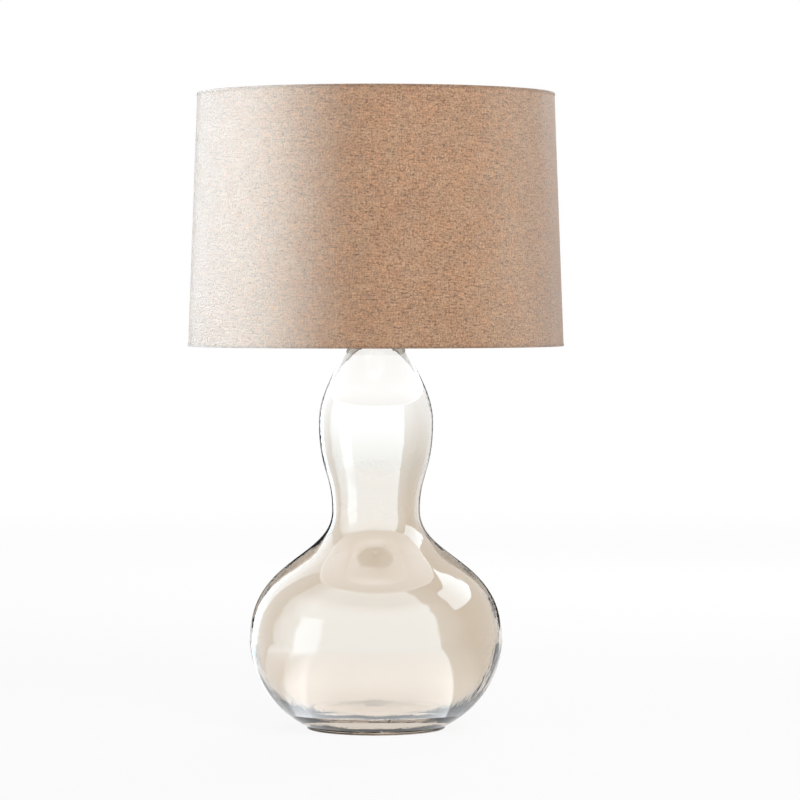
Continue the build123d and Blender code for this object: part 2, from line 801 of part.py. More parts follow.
with BuildPart() as bulb_stem:
    with BuildSketch(Plane.XZ):
        with BuildLine():
            stem_foot = bulb_z + bulb_base_height - bulb_glass_seat
            flare_rim = bulb_neck_radius - bulb_glass
            Polyline((0, stem_foot), (flare_rim, stem_foot), (flare_rim, stem_foot + bulb_glass))
            Bezier(
                (flare_rim, stem_foot + bulb_glass),
                (bulb_stem_radius, stem_foot + bulb_stem_flare / 4),
                (bulb_stem_radius, stem_foot + bulb_stem_flare / 2),
                (bulb_stem_radius, stem_foot + bulb_stem_flare),
            )
            Polyline(
                (bulb_stem_radius, stem_foot + bulb_stem_flare),
                (bulb_stem_radius, bulb_z + bulb_stem_height),
                (0, bulb_z + bulb_stem_height),
                (0, stem_foot),
            )
        make_face()
    revolve(axis=Axis.Z)
save(bulb_stem, "bulb_stem")

lead_top_z = bulb_z + bulb_stem_height + lead_rise
with BuildPart() as bulb_leads:
    for side in (1, -1):
        foot = Vector(side * lead_foot, 0, bulb_z + bulb_stem_height)
        tip = Vector(side * lead_spread, 0, lead_top_z)
        with BuildSketch(Plane(tip, z_dir=foot - tip)):
            Circle(lead_radius)
        extrude(amount=(tip - foot).length + lead_radius)
    split(bisect_by=Plane.XY.offset(bulb_z + bulb_stem_height), keep=Keep.TOP)
save(bulb_leads, "bulb_leads")

with BuildPart() as bulb_filament:
    with BuildLine(Plane.XZ) as filament_path:
        filament_z = lead_top_z + filament_radius + lead_radius
        ThreePointArc(
            (-lead_spread, filament_z), (0, filament_z + filament_sag), (lead_spread, filament_z)
        )
    with BuildSketch(Plane(filament_path.edges()[0] @ 0, z_dir=filament_path.edges()[0] % 0)):
        Circle(filament_radius)
    sweep(path=filament_path.wires()[0])
save(bulb_filament, "bulb_filament")

# ================================================================ shade


def wall_radius(z, inset=0.0):
    """Radius of the shade's outer face at height z, less an inset."""
    return shade_top_radius + shade_slope * (shade_top - z) - inset


def shade_skin(name, outer_inset, thickness):
    """One layer of the shade's wall, from the top edge to the bottom edge."""
    with BuildPart() as skin:
        with BuildSketch(Plane.XZ):
            with BuildLine():
                Polyline(
                    (wall_radius(shade_bottom, outer_inset), shade_bottom),
                    (wall_radius(shade_top, outer_inset), shade_top),
                    (wall_radius(shade_top, outer_inset + thickness), shade_top),
                    (wall_radius(shade_bottom, outer_inset + thickness), shade_bottom),
                    close=True,
                )
            make_face()
        revolve(axis=Axis.Z)
    save(skin, name)


shade_skin("shade_cover", 0, cover_thickness)
shade_skin("shade_liner", cover_thickness, liner_thickness)

top_ring_z = shade_top - ring_wire_radius
bottom_ring_z = shade_bottom + ring_wire_radius
slant = cos(atan(shade_slope))


def ring_radius(z):
    """Radius of the wire ring that lies against the liner at height z."""
    return wall_radius(z, wall_thickness) - ring_wire_radius / slant


def wire_ring(name, z):
    """A ring of steel wire against the inside of the shade."""
    with BuildPart() as ring:
        with Locations((0, 0, z)):
            Torus(ring_radius(z), ring_wire_radius)
    save(ring, name)


wire_ring("top_ring", top_ring_z)
wire_ring("bottom_ring", bottom_ring_z)


def edge_trim(name, edge_z, inward):
    """Cloth turned over one edge of the shade and its wire: inward is -1 at the top and 1 at the bottom."""
    channel = wall_thickness + 2 * ring_wire_radius / slant
    outer_end = edge_z + inward * trim_outer_leg
    inner_end = edge_z + inward * (2 * ring_wire_radius - fit_gap)
    fold = edge_z - inward * trim_thickness
    with BuildPart() as trim:
        with BuildSketch(Plane.XZ) as section:
            with BuildLine():
                Polyline(
                    (wall_radius(outer_end), outer_end),
                    (wall_radius(outer_end, -trim_thickness), outer_end),
                    (wall_radius(fold, -trim_thickness), fold),
                    (wall_radius(fold, channel + trim_thickness), fold),
                    (wall_radius(inner_end, channel + trim_thickness), inner_end),
                    (wall_radius(inner_end, channel), inner_end),
                    (wall_radius(edge_z, channel), edge_z),
                    (wall_radius(edge_z), edge_z),
                    close=True,
                )
            make_face()
            turned = section.vertices().group_by(Axis.Y)[-1 if inward < 0 else 0]
            fillet(turned, trim_roll)
        revolve(axis=Axis.Z)
    save(trim, name)


edge_trim("top_trim", shade_top, -1)
edge_trim("bottom_trim", shade_bottom, 1)

with BuildPart() as spider_hub:
    with BuildSketch(Plane.XY.offset(harp_seat)):
        Circle(hub_radius)
        Circle(hub_hole_radius, mode=Mode.SUBTRACT)
    extrude(amount=hub_thickness)
    fillet(spider_hub.edges().group_by(Axis.Z)[-1].sort_by(SortBy.RADIUS)[-1], nut_chamfer)
save(spider_hub, "spider_hub")

with BuildPart() as spider_arm:
    # The wire drops from the top ring and turns in to the hub, where its end is flattened.
    with BuildLine(Plane.XZ) as arm_path:
        arm_z = hub_top + ring_wire_radius / 2
        arm_root = ring_radius(top_ring_z)
        arm_root_z = top_ring_z - ring_wire_radius
        FilletPolyline(
            (arm_root, arm_root_z),
            (arm_root, arm_z),
            (arm_tab_start + arm_tab_length - ring_wire_radius, arm_z),
            radius=spider_bend,
        )
    with BuildSketch(Plane((arm_root, 0, arm_root_z))):
        Circle(ring_wire_radius)
    sweep(path=arm_path.wires()[0])
    with BuildSketch(Plane.XY.offset(hub_top)):
        with Locations((arm_tab_start + arm_tab_length / 2, 0)):
            RectangleRounded(arm_tab_length, arm_tab_width, ring_wire_radius)
    extrude(amount=ring_wire_radius)

with BuildPart() as spider_arm_set:
    with PolarLocations(0, spider_arms, start_angle=90):
        add(spider_arm.part)
save(spider_arm_set, "spider_arms")

# ================================================================ finial

finial_top = hub_top + finial_base_height
with BuildPart() as finial_base:
    with BuildSketch(Plane.XZ):
        with BuildLine():
            bore = stud_thread_radius + finial_bore_play
            bore_top = harp_seat + stud_thread_length + fit_gap
            cove_z = hub_top + finial_flange_height
            cup_z = finial_top - finial_seat - finial_cup_radius / 2
            Polyline(
                (bore, bore_top),
                (bore, hub_top),
                (finial_flange_radius, hub_top),
                (finial_flange_radius, cove_z),
            )
            TangentArc(
                (finial_waist_radius, cove_z + finial_flange_radius - finial_waist_radius),
                (finial_flange_radius, cove_z), tangent=(0, -1),
            )
            Line(
                (finial_waist_radius, cove_z + finial_flange_radius - finial_waist_radius),
                (finial_waist_radius, cup_z),
            )
            TangentArc(
                (finial_waist_radius, cup_z),
                (finial_cup_radius, cup_z + finial_cup_radius - finial_waist_radius), tangent=(0, 1),
            )
            Polyline(
                (finial_cup_radius, cup_z + finial_cup_radius - finial_waist_radius),
                (finial_cup_radius, finial_top - finial_seat),
                (finial_peg_radius, finial_top - finial_seat),
                (finial_peg_radius, finial_top - finial_seat + finial_peg_length),
                (0, finial_top - finial_seat + finial_peg_length),
                (0, bore_top),
                (bore, bore_top),
            )
        make_face()
    revolve(axis=Axis.Z)
save(finial_base, "finial_base")

with BuildPart() as finial_knob:
    with Locations((0, 0, finial_top - finial_seat + finial_knob_radius - finial_seat)):
        Sphere(finial_knob_radius)
    with BuildSketch(Plane.XY.offset(finial_top - finial_seat)):
        Circle(finial_knob_radius)
    extrude(amount=-finial_knob_radius, mode=Mode.SUBTRACT)
    with BuildSketch(Plane.XY.offset(finial_top - finial_seat)):
        Circle(finial_peg_radius)
    extrude(amount=finial_peg_length, mode=Mode.SUBTRACT)
save(finial_knob, "finial_knob")
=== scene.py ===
"""Looks of the glass gourd table lamp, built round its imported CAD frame. Lengths are in metres."""
import json
import math

import bmesh
import bpy
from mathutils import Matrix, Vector

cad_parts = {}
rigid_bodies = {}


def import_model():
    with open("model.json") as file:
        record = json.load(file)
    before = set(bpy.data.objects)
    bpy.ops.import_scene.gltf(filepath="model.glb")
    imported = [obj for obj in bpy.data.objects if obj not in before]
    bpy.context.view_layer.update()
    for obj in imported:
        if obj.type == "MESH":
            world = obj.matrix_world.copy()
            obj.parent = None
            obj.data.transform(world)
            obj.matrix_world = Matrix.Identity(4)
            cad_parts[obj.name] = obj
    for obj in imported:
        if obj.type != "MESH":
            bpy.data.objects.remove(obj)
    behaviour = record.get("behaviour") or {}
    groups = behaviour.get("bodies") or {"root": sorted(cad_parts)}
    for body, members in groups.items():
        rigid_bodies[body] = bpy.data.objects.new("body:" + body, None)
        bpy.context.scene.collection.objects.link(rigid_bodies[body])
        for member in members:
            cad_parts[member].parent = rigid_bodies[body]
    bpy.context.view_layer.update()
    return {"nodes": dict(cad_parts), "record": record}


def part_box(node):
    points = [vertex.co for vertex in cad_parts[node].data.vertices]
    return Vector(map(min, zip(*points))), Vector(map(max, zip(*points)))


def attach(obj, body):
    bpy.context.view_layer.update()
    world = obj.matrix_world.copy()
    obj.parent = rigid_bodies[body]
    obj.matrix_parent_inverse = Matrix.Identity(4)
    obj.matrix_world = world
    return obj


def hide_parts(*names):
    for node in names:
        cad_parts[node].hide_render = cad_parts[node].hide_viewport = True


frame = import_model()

NODES = frame["nodes"]
FULL_TURN = 2 * math.pi

# --- camera: the photograph's place, height and framing ----------------------------------------
CAMERA_DISTANCE = 3.811
CAMERA_HEIGHT = 0.443
CAMERA_LENS = 168.8
CAMERA_REACH = 200.0
SENSOR_WIDTH = 36.0
AIM_X = 0.0244
AIM_HEIGHT = 0.334

# --- floor and world ---------------------------------------------------------------------------
FLOOR_SIZE = 30.0
FLOOR_DROP = 0.0002
FLOOR_GLOW = 0.9  # share of plain white out to FLOOR_NEAR; it is all white from FLOOR_FAR
FLOOR_NEAR = 0.8
FLOOR_FAR = 4.0
PAPER_DULL = (0.80, 0.80, 0.80, 1.0)
PAPER_PALE = (0.84, 0.84, 0.84, 1.0)
AMBIENT = 0.35
AMBIENT_TINT = (0.98, 0.99, 1.0, 1.0)
PLAIN_WHITE = (1.0, 1.0, 1.0, 1.0)

# --- lamps: azimuths are in degrees, 0 at the camera's side and positive to its right ----------
STUDIO_DISTANCE = 2.2
LAMP_POWER = 4.0  # for each square metre of a lamp at level 1
LAMP_MIDDLE = 0.30
SHADE_MIDDLE = 0.515
WHITE = (1.0, 1.0, 1.0)
ROOM_LAMPS = (("key", 20, 1.7, 3.95), ("rim", 165, 1.4, 3.2))  # name, azimuth, height, level
ROOM_LAMP_SIZE = (1.6, 1.4)
VEIL_HEIGHT = 0.68
VEIL_TALL = 1.7
VEIL_WHITE = (0.82, 0.97, 1.0)
VEIL_CREAM = (0.84, 0.95, 1.0)
VEIL_LAMPS = ((-57, 0.62, 15.0, VEIL_WHITE), (-74, 0.62, 16.5, VEIL_WHITE),
              (-92, 0.62, 12.8, VEIL_CREAM), (-110, 0.62, 8.8, VEIL_CREAM),
              (-128, 0.62, 5.5, VEIL_CREAM), (-146, 0.62, 2.5, VEIL_CREAM),
              (92, 1.8, 2.2, VEIL_WHITE))  # azimuth, width, level, colour
SHADE_PIECES = ("shade_cover", "top_trim", "bottom_trim", "shade_seam")
GLASS_NODES = ("glass_body", "bulb_envelope")

# --- stage that the glass mirrors: level 1 is a white seen straight, and shares are of a level --
SHEET_STEPS = 48
WOBBLE = 0.05  # how far a noise pushes the stage's edges about, in radians and metres
WOBBLE_SCALE = 1.6
WALL_TALL = 3.0
WALL_FAR_LEFT = -150.0
WALL_LEFT = -72.0
WALL_RIGHT = 61.0
WALL_LEVEL = 8.8
WALL_DIM = 3.0  # the level at GAP_RIGHT and beyond it
WALL_FEATHER = 0.04
WALL_TAIL = 34.0
TAIL_SHARE = 0.28
WALL_WHITE = (0.72, 0.88, 1.0, 1.0)
GAP_LEFT = -132.0
GAP_RIGHT = -104.0
GAP_DEPTH = 0.62
WINDOW_LEFT = -78.0
WINDOW_RIGHT = -48.0
WINDOW_TALL = 1.2
WINDOW_SOFT = 0.1
WINDOW_LEVEL = 3.4
PATCH_LEFT = 86.0
PATCH_RIGHT = 138.0
PATCH_LOW = 1.25
PATCH_HIGH = 2.7
PATCH_LEVEL = 6.0
PATCH_BORDER = 0.1
PATCH_MARGIN = 5.0
TABLE_START = 0.09  # this and the next three are distances from the Z axis
TABLE_NEAR = 0.17
TABLE_SHINE = 0.3
TABLE_FULL = 0.6
TABLE_RISE = 0.003
TABLE_DARK = -1.45  # this azimuth and the next are in radians
TABLE_BRIGHT = -0.8
TABLE_LEFT = 0.15
TABLE_SHARE = 0.95
# TABLE_SHADE is a painted shadow of the lamp on the table that the glass mirrors
TABLE_SHADE = 0.45
TABLE_WINDOW = 0.25
TABLE_WHITE = (0.92, 0.96, 1.0, 1.0)
CEILING_LOW = 1.8
CEILING_HIGH = 2.85
CEILING_SHARE = 0.70
# the liner sheet is a painted reflection: a glow under the shade that the glass mirrors as the shade's
# inside
LINER_INNER = 0.036
LINER_OUTER = 0.193
LINER_DROP = 0.003
LINER_FADE = 0.08
LINER_SHARE = 0.48
LINER_MIDDLE = 0.27
LINER_BEHIND = 0.2
FLAG_AZIMUTH = 164.0
FLAG_WIDTH = 0.9
FLAG_TALL = 2.6
FLAG_LEVEL = 0.05

# --- glass: its skin is greige at the belly, paler up the waist and clear at the neck ----------
GLASS_IOR = 1.5
GLASS_SKIN = (0.79, 0.72, 0.635, 1.0)
GLASS_PALE = (0.79, 0.75, 0.69, 1.0)
GLASS_CLEAR = (0.975, 0.97, 0.96, 1.0)
WAIST_HEIGHT = 0.21
LOBE_HEIGHT = 0.27
NECK_HEIGHT = 0.345
GLASS_TINT = (0.76, 0.68, 0.60, 1.0)
GLASS_DENSITY = 10.0

# --- metals and mouldings: how much each noise moves the gloss ---------------------------------
NOISE_LOW = 0.3  # most of a noise lies between these two
NOISE_HIGH = 0.7
TURNED = (60.0, 60.0, 4200.0)
SCUFF = 0.25
WEAR = 0.12
TARNISH = 0.12
DRIFT = 0.06
SKIN = 0.15

# --- linen: sizes of its threads, weights of its tones and its colours -------------------------
LINEN_RADIUS = 0.186
THREAD = 0.00095
YARN = 0.0013
KNOT = 0.0018
SLUB_LENGTH = 0.008
CLOUD_SCALE = 30.0
HUE_SCALE = 70.0
WARP_WEIGHT = 0.9
WEFT_WEIGHT = 1.0
KNOT_WEIGHT = 1.7
CLOUD_WEIGHT = 0.22
YARN_LOW = 1.45
YARN_HIGH = 2.41
FLECK_LOW = 0.61
FLECK_HIGH = 0.68
FLECK_SHARE = 0.8
FLECK_ROUND = 0.35
FLECK_UP = 0.9
WEAVE_WEIGHT = 0.5
LINEN_DARK = (0.245, 0.126, 0.063)
LINEN_LIGHT = (0.62, 0.37, 0.208)
LINEN_FLECK = (0.16, 0.085, 0.045)
LINEN_WARMTH = (1.04, 0.94, 0.86)
# the trims' cloth is the cover's linen made darker: painted shade on the rolled edges
EDGE_PAINTED_SHADE_DARK = 0.72
EDGE_PAINTED_SHADE_LIGHT = 0.76

# --- pieces made here --------------------------------------------------------------------------
SHARP_ANGLE = 35.0
BASE_PITCH = 0.00363  # seven turns to the inch
BASE_THREAD_DEPTH = 0.0008
BASE_THREAD_LEAD = 0.001
BASE_RIM = 0.005
BASE_LIP = 0.003
BASE_CONE = 0.0035
BASE_SHEET = 0.0004
BASE_ROWS = 96
BASE_SIDES = 72
FILAMENT_WIND = 0.00055
FILAMENT_WIRE = 0.00011
FILAMENT_PITCH = 0.0006
FILAMENT_STEPS = 12
FILAMENT_SIDES = 5
SEAM_WIDTH = 0.013
SEAM_RISE = 0.0006
SEAM_DEPTH = 0.00024
SEAM_SHORT = 0.0022
SEAM_ROWS = 24
SEAM_TOP = ((-0.0078, 0.45), (-0.0039, 0.8), (-0.0006, 1.0), (-0.0001, 0.8))  # along, share of rise
EDGE_BAND = 0.0005  # how near the top of the cover its edge's corners lie


class Finish:
    """One material's node graph. Most methods add nodes and give back an output socket."""

    def __init__(self, name):
        self.material = bpy.data.materials.new(name)
        self.material.use_nodes = True
        self.tree = self.material.node_tree
        self.tree.nodes.clear()
        self.output = self.node("ShaderNodeOutputMaterial")

    def node(self, kind, values=None, **settings):
        made = self.tree.nodes.new(kind)
        for key, value in settings.items():
            setattr(made, key, value)
        for socket, value in (values or {}).items():
            self.feed(made.inputs[socket], value)
        return made

    def feed(self, socket, value):
        if isinstance(value, bpy.types.NodeSocket):
            self.tree.links.new(value, socket)
        else:
            socket.default_value = value

    def math(self, operation, *values):
        made = self.node("ShaderNodeMath", operation=operation)
        for socket, value in zip(made.inputs, values):
            self.feed(socket, value)
        return made.outputs[0]

    def place(self):
        return self.node("ShaderNodeTexCoord").outputs["Object"]

    def axes(self):
        return self.node("ShaderNodeSeparateXYZ", {"Vector": self.place()}).outputs

    def azimuth(self, x, y):
        """Radians round the Z axis: 0 at the front, and positive to the right."""
        return self.math("ARCTAN2", x, self.math("MULTIPLY", y, -1.0))

    def length(self, vector):
        return self.node("ShaderNodeVectorMath", {0: vector}, operation="LENGTH").outputs["Value"]

    def unrolled(self, radius):
        """Length round the Z axis from the front, and length up walls and along rims."""
        x, y, z = self.axes()
        up = self.math("ADD", z, self.length(self.vector(x, y)))
        return self.math("MULTIPLY", self.azimuth(x, y), radius), up

    def vector(self, x, y, z=0.0):
        return self.node("ShaderNodeCombineXYZ", {"X": x, "Y": y, "Z": z}).outputs[0]

    def stretched(self, x, y, z, scales):
        parts = [self.math("MULTIPLY", value, scale) for value, scale in zip((x, y, z), scales)]
        return self.vector(*parts)

    def noise(self, vector, scale=1.0, detail=2.0, roughness=0.5):
        values = {"Vector": vector, "Scale": scale, "Detail": detail, "Roughness": roughness}
        return self.node("ShaderNodeTexNoise", values).outputs["Fac"]

    def weighted(self, *pairs):
        """The sum of values, each times its weight."""
        total = 0.0
        for value, weight in pairs:
            total = self.math("MULTIPLY_ADD", value, weight, total)
        return total

    def spread(self, value, low, high, to_low=0.0, to_high=1.0):
        """From low..high to to_low..to_high, and held at either end."""
        values = {"Value": value, "From Min": low, "From Max": high,
                  "To Min": to_low, "To Max": to_high}
        return self.node("ShaderNodeMapRange", values).outputs["Result"]

    def tone(self, factor, low, high):
        made = self.node("ShaderNodeMix", data_type="RGBA")
        self.feed(made.inputs["Factor"], factor)
        self.feed(made.inputs[6], low)
        self.feed(made.inputs[7], high)
        return made.outputs[2]

    def bump(self, height, strength, distance, under=None):
        values = {"Height": height, "Strength": strength, "Distance": distance}
        if under:
            values["Normal"] = under
        return self.node("ShaderNodeBump", values).outputs["Normal"]

    def show(self, shader):
        self.feed(self.output.inputs["Surface"], shader.outputs[0])
        return self.material

    def principled(self, **values):
        named = {key.replace("_", " "): value for key, value in values.items()}
        return self.show(self.node("ShaderNodeBsdfPrincipled", named))


def dimmed(colour, share):
    return tuple(channel * share for channel in colour)


def opaque(colour):
    return tuple(colour) + (1.0,)


def gourd_glass():
    """Blown glass with slow swells and a fine ripple, and a tint that deepens with its thickness."""
    finish = Finish("gourd_glass")
    place, height = finish.place(), finish.axes()[2]
    soft = finish.bump(finish.noise(place, scale=14.0), strength=0.30, distance=0.004)
    blown = finish.bump(finish.noise(place, scale=55.0), strength=0.10, distance=0.0006, under=soft)
    haze = finish.spread(finish.noise(place, scale=30.0, detail=4.0), 0.62, 0.80, 0.0, 0.012)
    skin = finish.tone(finish.spread(height, WAIST_HEIGHT, LOBE_HEIGHT), GLASS_SKIN, GLASS_PALE)
    skin = finish.tone(finish.spread(height, LOBE_HEIGHT, NECK_HEIGHT), skin, GLASS_CLEAR)
    depth = finish.node("ShaderNodeVolumeAbsorption", {"Color": GLASS_TINT, "Density": GLASS_DENSITY})
    finish.feed(finish.output.inputs["Volume"], depth.outputs[0])
    return finish.principled(Base_Color=skin, Roughness=haze, IOR=GLASS_IOR,
                             Transmission_Weight=1.0, Normal=blown)


def bulb_glass():
    finish = Finish("bulb_glass")
    place = finish.place()
    drawn = finish.bump(finish.noise(place, scale=60.0), strength=0.08, distance=0.0006)
    dust = finish.spread(finish.noise(place, scale=90.0, detail=4.0), 0.55, 0.8, 0.0, 0.04)
    return finish.principled(Base_Color=PLAIN_WHITE, Roughness=dust, IOR=GLASS_IOR,
                             Transmission_Weight=1.0, Normal=drawn)


def cloth_noise(finish, cloth, layer, round_scale, up_scale, detail):
    """A noise laid on the unrolled cloth; each layer is another slice of it."""
    return finish.noise(finish.stretched(*cloth, layer, (round_scale, up_scale, 1.0)), detail=detail)


def yarn_tone(finish, cloth):
    """Thick and thin threads both ways, the knots where they cross, and slow clouds over them."""
    thin, slub, knot = 1 / YARN, 1 / SLUB_LENGTH, 1 / KNOT
    warp = cloth_noise(finish, cloth, 0.0, thin, slub, 2.0)
    weft = cloth_noise(finish, cloth, 3.7, slub, thin, 2.0)
    crossing = cloth_noise(finish, cloth, 9.1, knot, knot, 1.0)
    cloudy = cloth_noise(finish, cloth, 5.3, CLOUD_SCALE, CLOUD_SCALE, 3.0)
    return finish.weighted((warp, WARP_WEIGHT), (weft, WEFT_WEIGHT), (crossing, KNOT_WEIGHT),
                           (cloudy, CLOUD_WEIGHT))


def linen_colour(finish, cloth, yarn, dark, light):
    """The threads' tones between dark and light, a drift in hue, and dark flecks on top."""
    hue = finish.spread(cloth_noise(finish, cloth, 7.7, HUE_SCALE, HUE_SCALE, 1.0), 0.4, 0.6)
    warm = tuple(channel * share for channel, share in zip(light, LINEN_WARMTH))
    pale = finish.tone(hue, opaque(light), opaque(warm))
    threads = finish.tone(finish.spread(yarn, YARN_LOW, YARN_HIGH), opaque(dark), pale)
    flecks = cloth_noise(finish, cloth, 1.9, FLECK_ROUND / KNOT, FLECK_UP / KNOT, 1.0)
    share = finish.spread(flecks, FLECK_LOW, FLECK_HIGH, 0.0, FLECK_SHARE)
    return finish.tone(share, threads, opaque(LINEN_FLECK))


def linen(name, dark, light):
    """Plain weave with slubs."""
    finish = Finish(name)
    cloth = finish.unrolled(LINEN_RADIUS)
    yarn = yarn_tone(finish, cloth)
    over, under = [finish.math("SINE", finish.math("MULTIPLY", way, math.pi / THREAD)) for way in cloth]
    weave = finish.math("MULTIPLY", over, under)
    relief = finish.weighted((weave, WEAVE_WEIGHT), (yarn, 1.0))
    return finish.principled(Base_Color=linen_colour(finish, cloth, yarn, dark, light), Roughness=0.37,
                             Specular_IOR_Level=0.5, Sheen_Weight=0.25, Sheen_Roughness=0.4,
                             Normal=finish.bump(relief, strength=0.55, distance=0.00035))


def styrene():
    finish = Finish("liner_styrene")
    place = finish.place()
    clouds = finish.noise(place, scale=22.0, detail=3.0)
    colour = finish.tone(clouds, (0.80, 0.76, 0.69, 1.0), (0.86, 0.83, 0.77, 1.0))
    gloss = finish.noise(place, scale=160.0, detail=3.0)
    rough = finish.spread(gloss, NOISE_LOW, NOISE_HIGH, 0.42, 0.56)
    normal = finish.bump(finish.noise(place, scale=420.0), strength=0.08, distance=0.0003)
    return finish.principled(Base_Color=colour, Roughness=rough, Normal=normal)


def metal(name, colour, shine, grain, tarnish=TARNISH):
    """Plated or bare metal. A grain runs round the lamp's axis, as turning and brushing leave it."""
    finish = Finish(name)
    turned = finish.noise(finish.stretched(*finish.axes(), TURNED), detail=4.0)
    cloudy = finish.noise(finish.place(), scale=75.0, detail=4.0)
    dull = opaque(dimmed(colour, 1 - tarnish))
    tint = finish.tone(finish.spread(cloudy, 0.35, 0.7), dull, opaque(colour))
    scuff = finish.math("SUBTRACT", turned, 0.5)
    wear = finish.math("SUBTRACT", cloudy, 0.5)
    rough = finish.weighted((scuff, SCUFF), (wear, WEAR), (shine, 1.0))
    normal = finish.bump(turned, strength=grain, distance=0.0002)
    return finish.principled(Base_Color=tint, Metallic=1.0, Roughness=rough, Normal=normal)


def moulding(name, colour, shine, skin=SKIN):
    """Moulded or fired material: a fine skin, and slight clouds in its colour and gloss."""
    finish = Finish(name)
    place = finish.place()
    cloudy = finish.noise(place, scale=60.0, detail=4.0)
    lighter = tuple(min(1.0, channel * 1.25 + 0.004) for channel in colour)
    tint = finish.tone(cloudy, opaque(colour), opaque(lighter))
    gloss = finish.noise(place, scale=180.0, detail=3.0)
    rough = finish.spread(gloss, NOISE_LOW, NOISE_HIGH, shine - DRIFT, shine + DRIFT)
    normal = finish.bump(finish.noise(place, scale=900.0, detail=3.0), strength=skin, distance=0.0002)
    return finish.principled(Base_Color=tint, Roughness=rough, Normal=normal)


def finishes():
    """Each material slot of the record, by its name."""
    return {
        "gourd_glass": gourd_glass(),
        "bulb_glass": bulb_glass(),
        "linen": linen("linen", LINEN_DARK, LINEN_LIGHT),
        # linen_edge is the same linen darkened, painted shade on the trims' rolled edges
        "linen_edge": linen("linen_edge", dimmed(LINEN_DARK, EDGE_PAINTED_SHADE_DARK),
                            dimmed(LINEN_LIGHT, EDGE_PAINTED_SHADE_LIGHT)),
        "liner_styrene": styrene(),
        "brushed_nickel": metal("brushed_nickel", (0.66, 0.63, 0.58), shine=0.34, grain=0.25),
        "polished_nickel": metal("polished_nickel", (0.74, 0.71, 0.66), shine=0.12, grain=0.03),
        "zinc_steel": metal("zinc_steel", (0.62, 0.63, 0.65), shine=0.38, grain=0.12, tarnish=0.22),
        "socket_aluminium": metal("socket_aluminium", (0.78, 0.78, 0.79), shine=0.30, grain=0.15),
        "bulb_aluminium": metal("bulb_aluminium", (0.80, 0.80, 0.81), shine=0.28, grain=0.10),
        "brass": metal("brass", (0.72, 0.53, 0.24), shine=0.30, grain=0.10, tarnish=0.25),
        "solder": metal("solder", (0.55, 0.55, 0.56), shine=0.45, grain=0.10, tarnish=0.25),
        "lead_wire": metal("lead_wire", (0.48, 0.45, 0.42), shine=0.38, grain=0.05),
        "filament": metal("filament", (0.20, 0.19, 0.18), shine=0.50, grain=0.05),
        "ring_wire": moulding("ring_wire", (0.74, 0.73, 0.70), shine=0.42, skin=0.20),
        "setting_plaster": moulding("setting_plaster", (0.66, 0.62, 0.55), shine=0.85, skin=0.60),
        "fibre_paper": moulding("fibre_paper", (0.20, 0.13, 0.08), shine=0.80, skin=0.50),
        "phenolic": moulding("phenolic", (0.018, 0.013, 0.011), shine=0.38),
        "knob_plastic": moulding("knob_plastic", (0.014, 0.012, 0.011), shine=0.40),
        "gland_plastic": moulding("gland_plastic", (0.016, 0.016, 0.017), shine=0.50),
        "insulator_glass": moulding("insulator_glass", (0.010, 0.010, 0.012), shine=0.12, skin=0.05),
    }


def dress(looks):
    """Gives every CAD node the finish of its slot in the record."""
    for part in frame["record"]["subparts"]:
        NODES[part["node"]].data.materials[0] = looks[part["material_slot"]]


def add_mesh(name, points, faces, body, slot, looks):
    """One closed piece with its faces turned outward, riding on a body in the slot's finish."""
    shape = bmesh.new()
    corners = [shape.verts.new(point) for point in points]
    for face in faces:
        shape.faces.new([corners[index] for index in face])
    bmesh.ops.remove_doubles(shape, verts=shape.verts, dist=1e-7)
    bmesh.ops.recalc_face_normals(shape, faces=shape.faces)
    mesh = bpy.data.meshes.new(name)
    shape.to_mesh(mesh)
    shape.free()
    mesh.shade_smooth()
    mesh.set_sharp_from_angle(angle=math.radians(SHARP_ANGLE))
    mesh.materials.append(looks[slot])
    piece = bpy.data.objects.new(name, mesh)
    bpy.context.scene.collection.objects.link(piece)
    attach(piece, body)
    return piece


def ring_faces(rows, sides):
    """Quads of a grid that closes on itself both ways: rows of sides points each."""
    faces = []
    for row in range(rows):
        above = (row + 1) % rows
        for side in range(sides):
            right = (side + 1) % sides
            faces.append((row * sides + side, row * sides + right,
                          above * sides + right, above * sides + side))
    return faces


def capped_faces(rows, sides):
    """Quads of a tube of rows of sides points each, with a flat face over both ends."""
    faces = [face for face in ring_faces(rows, sides) if max(face) - min(face) < 2 * sides]
    return faces + [tuple(range(sides)), tuple(range((rows - 1) * sides, rows * sides))]


def threaded(name, outline, low, high, body, slot, looks):
    """Turns a closed outline of (radius, height, cut) rows round the Z axis.

    A rounded thread from low to high sinks the rows that are cut."""
    points = []
    for radius, height, cut in outline:
        fade = min(1.0, max(0.0, min(height - low, high - height) / BASE_PITCH))
        for side in range(BASE_SIDES):
            turn = FULL_TURN * side / BASE_SIDES
            wave = 0.5 - 0.5 * math.cos(FULL_TURN * height / BASE_PITCH - turn)
            reach = radius - (BASE_THREAD_DEPTH * fade * wave if cut else 0.0)
            points.append((reach * math.cos(turn), reach * math.sin(turn), height))
    return add_mesh(name, points, ring_faces(len(outline), BASE_SIDES), body, slot, looks)


def steps(start, end, count):
    return [start + (end - start) * index / count for index in range(count + 1)]


def make_bulb_base(looks):
    """The bulb's screw base: rolled sheet with a rounded thread, and a cone down to the insulator."""
    low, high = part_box("bulb_base")
    radius = high.x
    cone = radius - BASE_CONE
    root = radius - BASE_SHEET - BASE_THREAD_DEPTH
    thread_low = low.z + BASE_CONE
    outside = [(cone, low.z, False)]
    outside += [(radius, height, True) for height in steps(thread_low, high.z, BASE_ROWS)]
    inside = [(radius - BASE_SHEET, high.z, False), (root, high.z - BASE_LIP, False),
              (root, thread_low, False), (cone - BASE_SHEET, low.z, False)]
    piece = threaded("bulb_base_thread", outside + inside, thread_low + BASE_THREAD_LEAD,
                     high.z - BASE_RIM, "bulb", "bulb_aluminium", looks)
    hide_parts("bulb_base")


